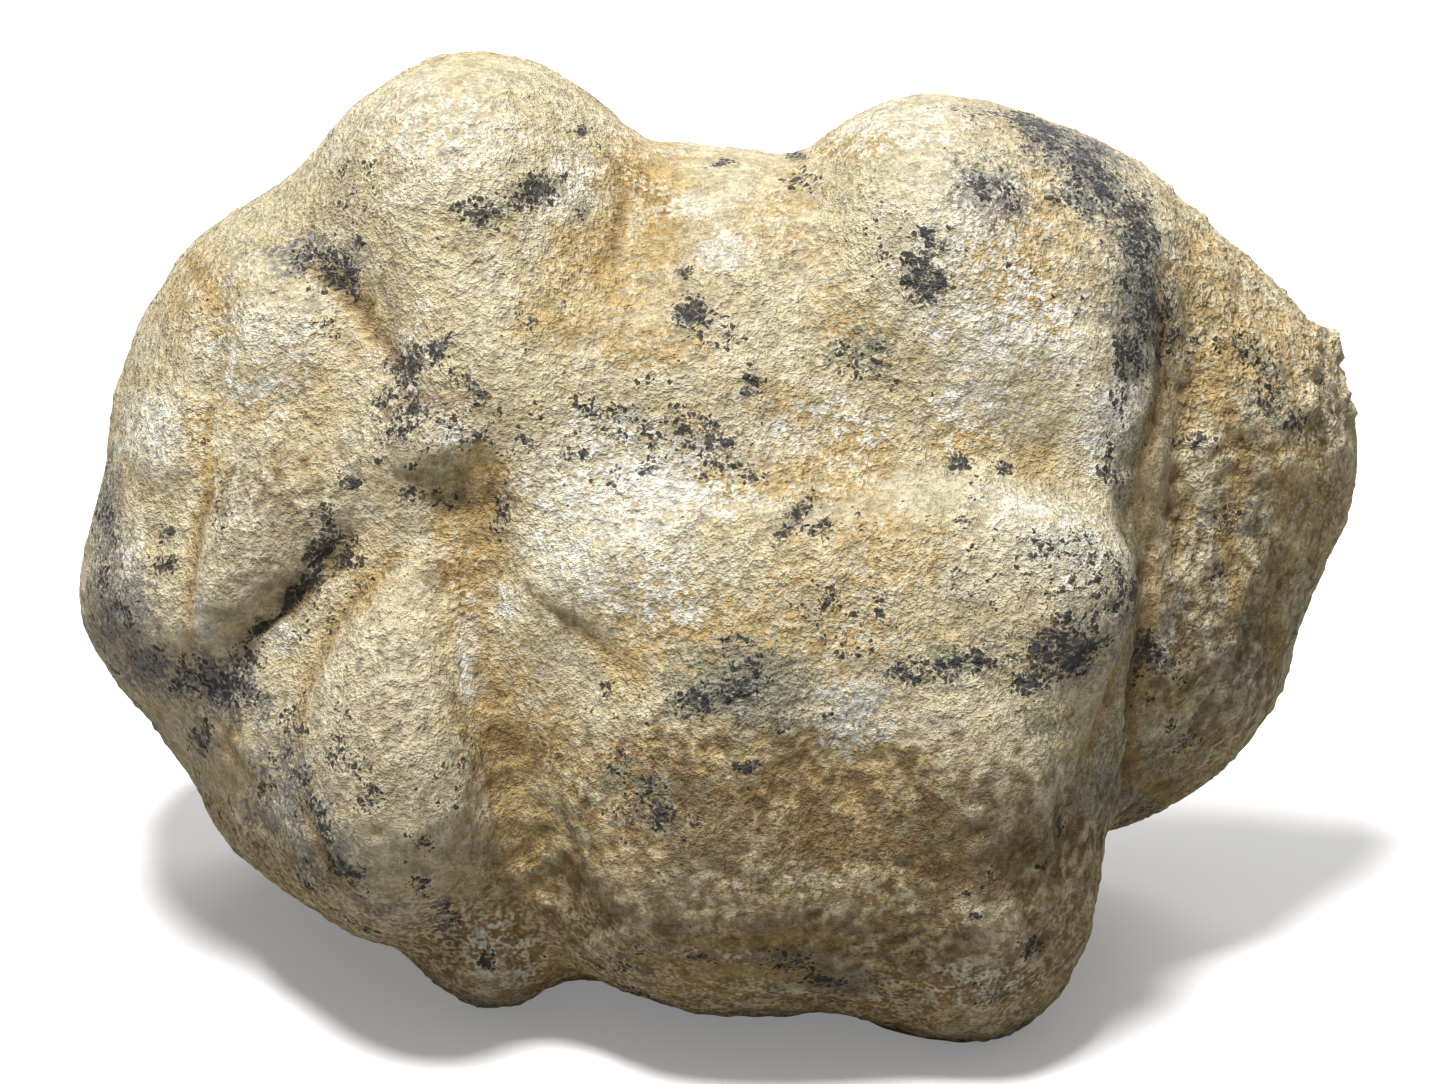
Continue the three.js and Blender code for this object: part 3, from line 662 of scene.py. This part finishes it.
def grown_points(pick):
    """The quartz points to grow on the wall, without those that would reach the broken face."""
    ways = even_ways(pick, POINTS)
    roots = HOLLOW_AT + ways * hollow_reach(ways, GAP + CRUST - ROOT_DEPTH)[:, None]
    _, outward = slope(from_hollow, roots)
    points = []
    for root, out in zip(roots, outward):
        radius = SMALLEST_RADIUS + RADIUS_RANGE * pick.random() ** RADIUS_BIAS
        length = radius * pick.uniform(0.5, 1.5)
        tip = radius * pick.uniform(1.1, 1.5)
        lean = Vector((pick.uniform(-1, 1), pick.uniform(-1, 1), pick.uniform(-1, 1))) * POINT_LEAN
        way = (Vector(-out) + lean).normalized()
        spin = pick.uniform(0, math.pi)
        taper = pick.uniform(0.82, 0.97)
        top = np.array(root) + np.array(way) * (length + tip)
        if from_break(np.array([root, top])).max() <= -BREAK_CLEARANCE - radius:
            points.append(Point(Vector(root), way, radius, length, taper, tip, spin))
    return points


def in_batches(points):
    """The points in lots in which none touches another, so that each lot can be joined on at once."""
    batches = []
    for point in points:
        reach = point.length + point.tip
        middle = point.root + point.way * reach / 2
        size = reach / 2 + point.radius * 0.6
        for batch, taken in batches:
            if all((middle - other).length > size + extent for other, extent in taken):
                break
        else:
            batch, taken = [], []
            batches.append((batch, taken))
        batch.append(point)
        taken.append((middle, size))
    return [batch for batch, _ in batches]


def keep_largest(mesh):
    """Takes out the few points that stand clear of the rest, and slivers too small to see."""
    shape = bmesh.new()
    shape.from_mesh(mesh)
    left, largest = set(shape.verts), set()
    while left:
        island, edge = set(), {next(iter(left))}
        while edge:
            island |= edge
            edge = {side.other_vert(vert) for vert in edge for side in vert.link_edges} - island
        left -= island
        largest = max(largest, island, key=len)
    bmesh.ops.delete(shape, geom=[vert for vert in shape.verts if vert not in largest], context="VERTS")
    bmesh.ops.dissolve_degenerate(shape, dist=SLIVER, edges=shape.edges)
    bmesh.ops.triangulate(shape, faces=shape.faces)
    shape.to_mesh(mesh)
    shape.free()


def make_crust():
    """The quartz crust: the frame's solid with many more points grown through it, joined in one solid."""
    piece = show(merged_copy("crystal_crust", "crystal_crust_fine"), "crystal_crust_fine")
    cutters = []
    for number, batch in enumerate(in_batches(grown_points(random.Random(POINT_SEED)))):
        shape = bmesh.new()
        for point in batch:
            quartz_point(shape, point)
        bmesh.ops.translate(shape, vec=Vector(SETTLE), verts=shape.verts)
        bmesh.ops.scale(shape, vec=(MM, MM, MM), verts=shape.verts)
        cutter = show(finished(shape, f"points_{number}"), f"points_{number}")
        cutters.append(cutter)
        join = piece.modifiers.new(f"join_{number}", "BOOLEAN")
        join.operation = "UNION"
        join.solver = "MANIFOLD"
        join.object = cutter
    mesh = settled(piece)
    for cutter in cutters:
        bpy.data.objects.remove(cutter)
    keep_largest(mesh)
    mesh.polygons.foreach_set("use_smooth", [False] * len(mesh.polygons))
    keep_value(mesh, "rooted", smooth(from_hollow(in_stone(mesh)), -9, -2.5))
    return piece


class Wiring:
    """A short way to add nodes to a material or a node group and join them up."""

    def __init__(self, tree):
        self.tree = tree

    def add(self, kind, settings=None, **inputs):
        """Adds a node. An input is given by its name, with _ for each space, or as i and its number."""
        node = self.tree.nodes.new(kind)
        for key, value in (settings or {}).items():
            setattr(node, key, value)
        for key, value in inputs.items():
            numbered = key[0] == "i" and key[1:].isdigit()
            self.feed(node.inputs[int(key[1:]) if numbered else key.replace("_", " ")], value)
        return node

    def feed(self, socket, value):
        """Joins a node or a socket to an input, or sets the input to a value."""
        if isinstance(value, bpy.types.NodeSocket):
            self.tree.links.new(value, socket)
        elif isinstance(value, bpy.types.Node):
            self.tree.links.new(value.outputs[0], socket)
        else:
            socket.default_value = value

    def maths(self, operation, *values):
        return self.add("ShaderNodeMath", {"operation": operation},
                        **{f"i{i}": value for i, value in enumerate(values)}).outputs[0]

    times = partialmethod(maths, "MULTIPLY")
    plus = partialmethod(maths, "ADD")
    minus = partialmethod(maths, "SUBTRACT")
    most = partialmethod(maths, "MAXIMUM")

    def attribute(self, name):
        return self.add("ShaderNodeAttribute", {"attribute_name": name}).outputs["Fac"]

    def noise(self, where, scale, detail, roughness=0.6):
        """Soft random values about a half. The scale is in clouds to the metre, and detail adds octaves."""
        return self.add("ShaderNodeTexNoise", Vector=where, Scale=scale, Detail=detail,
                        Roughness=roughness).outputs["Fac"]

    def step(self, value, low, high):
        """Runs from 0 at low to 1 at high, gently at both ends."""
        return self.add("ShaderNodeMapRange", {"interpolation_type": "SMOOTHSTEP"}, Value=value, From_Min=low,
                        From_Max=high).outputs[0]

    def mix(self, share, under, over):
        """Colour under, with its share of colour over laid on it."""
        node = self.add("ShaderNodeMix", {"data_type": "RGBA"})
        self.feed(node.inputs["Factor"], share)
        self.feed(node.inputs["A"], under)
        self.feed(node.inputs["B"], over)
        return node.outputs["Result"]


def new_group(name, inputs, outputs):
    """A node group, its wiring, and its inputs and outputs inside it. An input with no default is a place."""
    group = bpy.data.node_groups.new(name, "ShaderNodeTree")
    for label, default in inputs.items():
        kind = "NodeSocketVector" if default is None else "NodeSocketFloat"
        socket = group.interface.new_socket(label, in_out="INPUT", socket_type=kind)
        if default is not None:
            socket.default_value = default
    for label in outputs:
        group.interface.new_socket(label, in_out="OUTPUT", socket_type="NodeSocketFloat")
    w = Wiring(group)
    return group, w, w.add("NodeGroupInput").outputs, w.add("NodeGroupOutput").inputs


def use_group(w, group, **inputs):
    node = w.add("ShaderNodeGroup", {"node_tree": group})
    for key, value in inputs.items():
        w.feed(node.inputs[key.replace("_", " ")], value)
    return node.outputs


def ragged_stain_group():
    """Breaks the soft edge of a stain up into a ragged one, by a grain that runs from 0 to 1."""
    group, w, given, out = new_group(
        "ragged stain", {"Grain": 0.5, "Mask": 0, "Raggedness": 0.5, "Edge": 0.2}, ["Mask"])
    centred = w.times(w.minus(given["Grain"], 0.5), w.times(given["Raggedness"], 3.2))
    shifted = w.plus(given["Mask"], w.times(centred, w.step(given["Mask"], 0.0, 0.25)))
    edge_at = 0.4
    shown = w.step(shifted, w.minus(edge_at, given["Edge"]), w.plus(edge_at, given["Edge"]))
    w.feed(out["Mask"], w.times(shown, w.step(given["Mask"], 0.03, 0.3)))
    return group


def speckle_group():
    """Clusters of small and of finer dots, closer together where the mask is stronger."""
    group, w, given, out = new_group("speckle", {"Place": None, "Mask": 0}, ["Mask"])
    wobble = w.add("ShaderNodeTexNoise", Vector=given["Place"], Scale=900.0, Detail=0.0).outputs["Color"]
    bent = w.add("ShaderNodeVectorMath", {"operation": "MULTIPLY_ADD"}, i0=wobble, i1=[WOBBLE] * 3,
                 i2=given["Place"]).outputs[0]
    patchy = w.times(w.minus(w.noise(given["Place"], 330.0, 1), 0.5), 1.5)
    here = w.plus(w.times(given["Mask"], 1.15), patchy)
    here = w.times(here, w.step(given["Mask"], 0.02, 0.2))
    shown = []
    for to_metre, strength in ((SPECKS_TO_METRE, 1.0), (FINE_SPECKS_TO_METRE, 0.8)):
        dots = w.add("ShaderNodeTexVoronoi", Vector=bent, Scale=to_metre)
        chance = w.add("ShaderNodeSeparateColor", Color=dots.outputs["Color"]).outputs[0]
        reach = w.step(w.minus(here, w.times(chance, 0.8)), -0.05, 0.55)
        edge = w.minus(w.times(reach, 0.8), dots.outputs["Distance"])
        shown.append(w.times(w.step(edge, 0.0, 0.2), strength))
    w.feed(out["Mask"], w.most(*shown))
    return group


def grain_group():
    """Sandy grain: a height, and a value for the colour to vary by."""
    group, w, given, out = new_group("sandy grain", {"Place": None, "Coarseness": 0.8}, ["Height", "Shade"])
    sand = w.noise(given["Place"], 1050.0, 3, 0.72)
    lumps = w.noise(given["Place"], 330.0, 1)
    w.feed(out["Height"], w.plus(w.times(sand, given["Coarseness"]), w.times(lumps, 0.7)))
    w.feed(out["Shade"], w.plus(w.times(sand, 0.65), w.times(lumps, 0.35)))
    return group


def new_material(name):
    """An empty material, with its wiring and the place of each point on the piece."""
    material = bpy.data.materials.new(name)
    material.use_nodes = True
    material.node_tree.nodes.clear()
    w = Wiring(material.node_tree)
    return material, w, w.add("ShaderNodeTexCoord").outputs["Object"]


# Colours, red, green and blue, as shares of the light that they send back.
CREAM = (0.655, 0.56, 0.35, 1)
PALE = (0.78, 0.72, 0.54, 1)
WARM = (0.55, 0.425, 0.22, 1)
CHALK = (0.90, 0.89, 0.82, 1)
OCHRE = (0.56, 0.385, 0.15, 1)
RUST = (0.21, 0.115, 0.042, 1)
GREY = (0.25, 0.246, 0.243, 1)
SOOT = (0.028, 0.03, 0.036, 1)
MOSS_GREY = (0.27, 0.27, 0.18, 1)
CREVICE_DIRT_AND_SHADE = (0.10, 0.068, 0.036, 1)
MUD_AND_SHADE = (0.19, 0.126, 0.052, 1)
FRESH_STONE = (0.38, 0.335, 0.275, 1)
FRESH_PALE = (0.56, 0.51, 0.43, 1)
BAND_PALE = (0.80, 0.79, 0.77, 1)
BAND_DARK = (0.36, 0.34, 0.33, 1)
CLEAR_QUARTZ = (0.97, 0.97, 0.98, 1)
CLOUDY_QUARTZ = (0.88, 0.87, 0.88, 1)
MILKY_QUARTZ = (0.78, 0.76, 0.73, 1)
IRON = (0.52, 0.36, 0.18, 1)
HAZE = (0.90, 0.92, 0.95, 1)
FLOOR_SEEN = (0.85, 0.85, 0.85, 1)
FLOOR_THROWN = (0.32, 0.31, 0.30, 1)
WHITE = (1, 1, 1, 1)

WOBBLE = 0.0011  # metres by which the dots of the specks are bent out of round
SPECKS_TO_METRE = 1250.0
FINE_SPECKS_TO_METRE = 2300.0
LOW_DIRT_AND_SHADE_LINE = (0.052, 0.012)  # heights at which the underside's browning, dirt and painted shade, begins and is full
BANDS = 26.0  # how closely the pale bands round the hollow follow each other
GRIT = 0.0022  # height of the bump at the full range of its noise
QUARTZ_IOR = 1.544
QUARTZ_CLEARNESS = 0.45
QUARTZ_DENSITY = 12.0


def chalky_material(grain, ragged, speckle):
    """The rind: chalky cream stone with manganese specks, grey bloom, ochre, rust, dirt and painted shade in its
    folds, painted shade on its low side and painted highlight in places.
    """
    material, w, place = new_material("chalky rind")
    value = {name: w.attribute(name) for name in (
        "specks", "smudge", "chalk_and_highlight", "ochre_and_shade", "rust", "green", "earth_and_shade", "crevice", "worn", "broken",
        "inner_bands", "crude", "front", "weathered")}
    height = w.add("ShaderNodeSeparateXYZ", Vector=place).outputs["Z"]
    grained = use_group(w, grain, Place=place, Coarseness=0.95)

    slow = w.noise(place, 34.0, 2)
    middling = w.noise(place, 110.0, 2)
    quick = w.noise(place, 420.0, 2, 0.65)
    patches = w.noise(place, 48.0, 2, 0.65)
    colour = w.mix(w.times(w.step(slow, 0.34, 0.68), 0.55), CREAM, WARM)
    colour = w.mix(w.times(w.step(middling, 0.38, 0.66), 0.5), colour, PALE)
    colour = w.mix(w.times(w.step(quick, 0.46, 0.70), 0.25), colour, CHALK)

    def ragged_grain(size):
        fine = w.times(w.minus(w.noise(place, size * 4.3, 0), 0.5), 0.7)
        return w.plus(w.noise(place, size, 3, 0.7), fine)

    small, broad = ragged_grain(350.0), ragged_grain(120.0)
    # Browner and darker towards the bottom: partly dirt, partly painted shade of the low side.
    low = w.step(w.plus(height, w.times(w.minus(slow, 0.5), 0.03)), *LOW_DIRT_AND_SHADE_LINE)
    hidden = w.minus(1.0, value["front"])
    blotch, bloom, strewn = (w.times(w.step(patches, *ends), share) for ends, share in (
        ((0.5, 0.68), 0.7), ((0.46, 0.32), 0.6), ((0.44, 0.26), 0.4)))
    brown = w.most(w.most(value["ochre_and_shade"], w.times(hidden, blotch)), w.times(low, 0.6))
    grey = w.most(value["smudge"], w.times(hidden, bloom))
    rust_and_low_shade = w.most(value["rust"], w.times(low, 0.35))
    # Stains laid on the colour; the ochre, earth and chalk ones carry painted shade or highlight as well.
    for mask, grained_by, raggedness, edge, share, stain in (
            (brown, small, 0.9, 0.24, 0.78, OCHRE), (grey, small, 0.8, 0.24, 0.85, GREY),
            (value["green"], small, -0.9, 0.2, 0.8, MOSS_GREY), (rust_and_low_shade, small, 0.9, 0.22, 0.6, RUST),
            (value["earth_and_shade"], broad, 0.6, 0.32, 0.8, MUD_AND_SHADE), (value["chalk_and_highlight"], small, -0.85, 0.25, 0.8, CHALK)):
        shown = use_group(w, ragged, Grain=grained_by, Mask=mask, Raggedness=raggedness, Edge=edge)[0]
        colour = w.mix(w.times(shown, share), colour, stain)
    colour = w.mix(w.times(value["worn"], 0.35), colour, PALE)

    # Crevices, folds and pits darkened towards ochre and deep brown: partly dirt, partly painted shade.
    dirt_and_shade = w.times(value["crevice"], w.plus(0.45, middling))
    dirt_and_shade = w.plus(dirt_and_shade, w.times(value["crude"], w.times(value["crevice"], 0.4)))
    colour = w.mix(w.times(w.step(dirt_and_shade, 0.05, 0.5), 0.6), colour, OCHRE)
    colour = w.mix(w.times(w.step(dirt_and_shade, 0.2, 1.3), 0.75), colour, CREVICE_DIRT_AND_SHADE)
    dotted = w.most(value["specks"], w.plus(0.12, strewn))
    dark = use_group(w, speckle, Place=place, Mask=dotted)[0]
    halo = w.times(w.step(dotted, 0.15, 1.0), w.times(w.step(quick, 0.35, 0.6), 0.6))
    colour = w.mix(halo, colour, GREY)
    colour = w.mix(w.times(dark, 0.92), colour, SOOT)

    bands = w.maths("SINE", w.plus(w.times(value["inner_bands"], BANDS), w.times(slow, 5.0)))
    banded = w.mix(w.step(bands, -0.6, 0.7), BAND_PALE, BAND_DARK)
    inner = w.mix(w.step(quick, 0.38, 0.64), FRESH_STONE, FRESH_PALE)
    inner = w.mix(w.times(w.step(middling, 0.5, 0.62), 0.45), inner, WARM)
    rind_edge = w.plus(value["weathered"], w.times(w.minus(middling, 0.5), 1.1))
    inner = w.mix(w.times(w.step(rind_edge, 0.3, 0.6), 0.85), inner, w.mix(w.step(quick, 0.4, 0.6), CREAM, PALE))
    inner = w.mix(w.times(w.step(value["inner_bands"], 0.3, 0.6), 0.8), inner, banded)
    # The broken face's crevices darkened too: dirt and painted shade.
    inner = w.mix(w.times(value["crevice"], 0.5), inner, CREVICE_DIRT_AND_SHADE)
    colour = w.mix(w.step(value["broken"], 0.25, 0.7), colour, inner)

    brightness = w.plus(0.64, w.times(w.step(grained["Shade"], 0.34, 0.64), 0.56))
    shaded = w.add("ShaderNodeHueSaturation", Value=brightness, Color=colour)
    surface = w.add("ShaderNodeBsdfPrincipled", Base_Color=shaded)
    w.feed(surface.inputs["Roughness"], w.minus(0.95, w.times(dark, 0.3)))
    surface.inputs["Specular IOR Level"].default_value = 0.25
    gritty = w.times(quick, w.plus(0.5, w.times(value["crude"], 1.1)))
    bump = w.add("ShaderNodeBump", Strength=1.0, Distance=GRIT, Height=w.plus(grained["Height"], gritty))
    w.feed(surface.inputs["Normal"], bump.outputs["Normal"])
    w.add("ShaderNodeOutputMaterial", Surface=surface)
    return material


def quartz_material(grain, ragged):
    """The crust: milky at its roots and clear at its points, with a little iron and dust between them."""
    material, w, place = new_material("quartz points")
    rooted = w.attribute("rooted")
    cloud = w.noise(place, 90.0, 4)
    fine = w.noise(place, 700.0, 3)
    colour = w.mix(w.step(cloud, 0.35, 0.65), CLEAR_QUARTZ, CLOUDY_QUARTZ)
    colour = w.mix(w.times(rooted, 0.6), colour, MILKY_QUARTZ)
    stained = use_group(w, ragged, Grain=w.noise(place, 200.0, 3, 0.7), Raggedness=0.7, Edge=0.3,
                        Mask=w.times(rooted, w.step(cloud, 0.45, 0.75)))[0]
    colour = w.mix(w.times(stained, 0.45), colour, IRON)
    surface = w.add("ShaderNodeBsdfPrincipled", Base_Color=colour)
    surface.inputs["Transmission Weight"].default_value = QUARTZ_CLEARNESS
    surface.inputs["IOR"].default_value = QUARTZ_IOR
    w.feed(surface.inputs["Roughness"], w.plus(0.05, w.times(rooted, 0.35)))
    grained = use_group(w, grain, Place=place, Coarseness=0.5)
    bump = w.add("ShaderNodeBump", Strength=0.12, Distance=0.0003,
                 Height=w.plus(fine, w.times(grained["Height"], rooted)))
    w.feed(surface.inputs["Normal"], bump.outputs["Normal"])
    haze = w.add("ShaderNodeVolumeAbsorption", Color=HAZE, Density=QUARTZ_DENSITY)
    w.add("ShaderNodeOutputMaterial", Surface=surface, Volume=haze)
    return material


def floor_material():
    """Near white to the camera, but greyer as the stone sees it, so that its low side stays in shade."""
    material, w, _ = new_material("studio floor")
    seen = w.add("ShaderNodeAddShader", i0=w.add("ShaderNodeBsdfDiffuse", Color=FLOOR_SEEN),
                 i1=w.add("ShaderNodeEmission", Color=WHITE, Strength=0.22))
    thrown = w.add("ShaderNodeBsdfDiffuse", Color=FLOOR_THROWN)
    eye = w.add("ShaderNodeLightPath").outputs["Is Camera Ray"]
    w.add("ShaderNodeOutputMaterial", Surface=w.add("ShaderNodeMixShader", i0=eye, i1=thrown, i2=seen))
    return material


def make_floor(half_width):
    shape = bmesh.new()
    bmesh.ops.create_grid(shape, x_segments=1, y_segments=1, size=half_width)
    mesh = finished(shape, "studio_floor")
    mesh.materials.append(floor_material())
    return show(mesh, "studio_floor")


def stand(name, data, place, way):
    """Puts a light or a camera at a place, looking along a way."""
    holder = show(data, name)
    holder.location = place
    holder.rotation_mode = "QUATERNION"
    holder.rotation_quaternion = way.to_track_quat("-Z", "Y")
    return holder


def make_light(name, place, aim, size, power, colour):
    lamp = bpy.data.lights.new(name, "AREA")
    lamp.shape = "DISK"
    lamp.size = size
    lamp.energy = power
    lamp.color = colour
    stand(name, lamp, place, Vector(aim) - Vector(place))


def make_world(strength):
    world = bpy.data.worlds.new("studio")
    world.use_nodes = True
    background = world.node_tree.nodes["Background"]
    background.inputs["Color"].default_value = WHITE
    background.inputs["Strength"].default_value = strength
    bpy.context.scene.world = world


def make_camera():
    lens = bpy.data.cameras.new("camera")
    lens.sensor_fit = "HORIZONTAL"
    lens.sensor_width = SENSOR
    lens.lens = SENSOR * EYE_DISTANCE / FRAME_WIDTH
    lens.clip_start = 0.05
    lens.clip_end = 30
    back = Vector((0, -math.cos(LEAN), math.sin(LEAN)))
    aim = Vector(SETTLE) * MM + Vector(EYE_SHIFT) * MM
    bpy.context.scene.camera = stand("camera", lens, aim + back * EYE_DISTANCE * MM, -back)


make_camera()
rind = make_rind()
crust = make_crust()
sandy, ragged_edge, speckled = grain_group(), ragged_stain_group(), speckle_group()
chalky = chalky_material(sandy, ragged_edge, speckled)
quartz = quartz_material(sandy, ragged_edge)
for piece, node, slot, material in ((rind, "rind", "chalky_rind", chalky),
                                    (crust, "crystal_crust", "quartz", quartz)):
    piece.data.materials.clear()
    piece.data.materials.append(material)
    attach(piece, "root")
    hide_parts(node)

floor = make_floor(half_width=6)
make_light("top light", place=(-0.3, -0.46, 2.07), aim=(0, 0, 0.07), size=0.6, power=77, colour=(1, 0.985, 0.96))
make_light("back light", place=(0.5, 1.7, 1.0), aim=(0, 0, 0.06), size=1.2, power=26, colour=(1, 0.99, 0.98))
make_world(strength=0.18)
bpy.context.scene.view_settings.view_transform = "Standard"
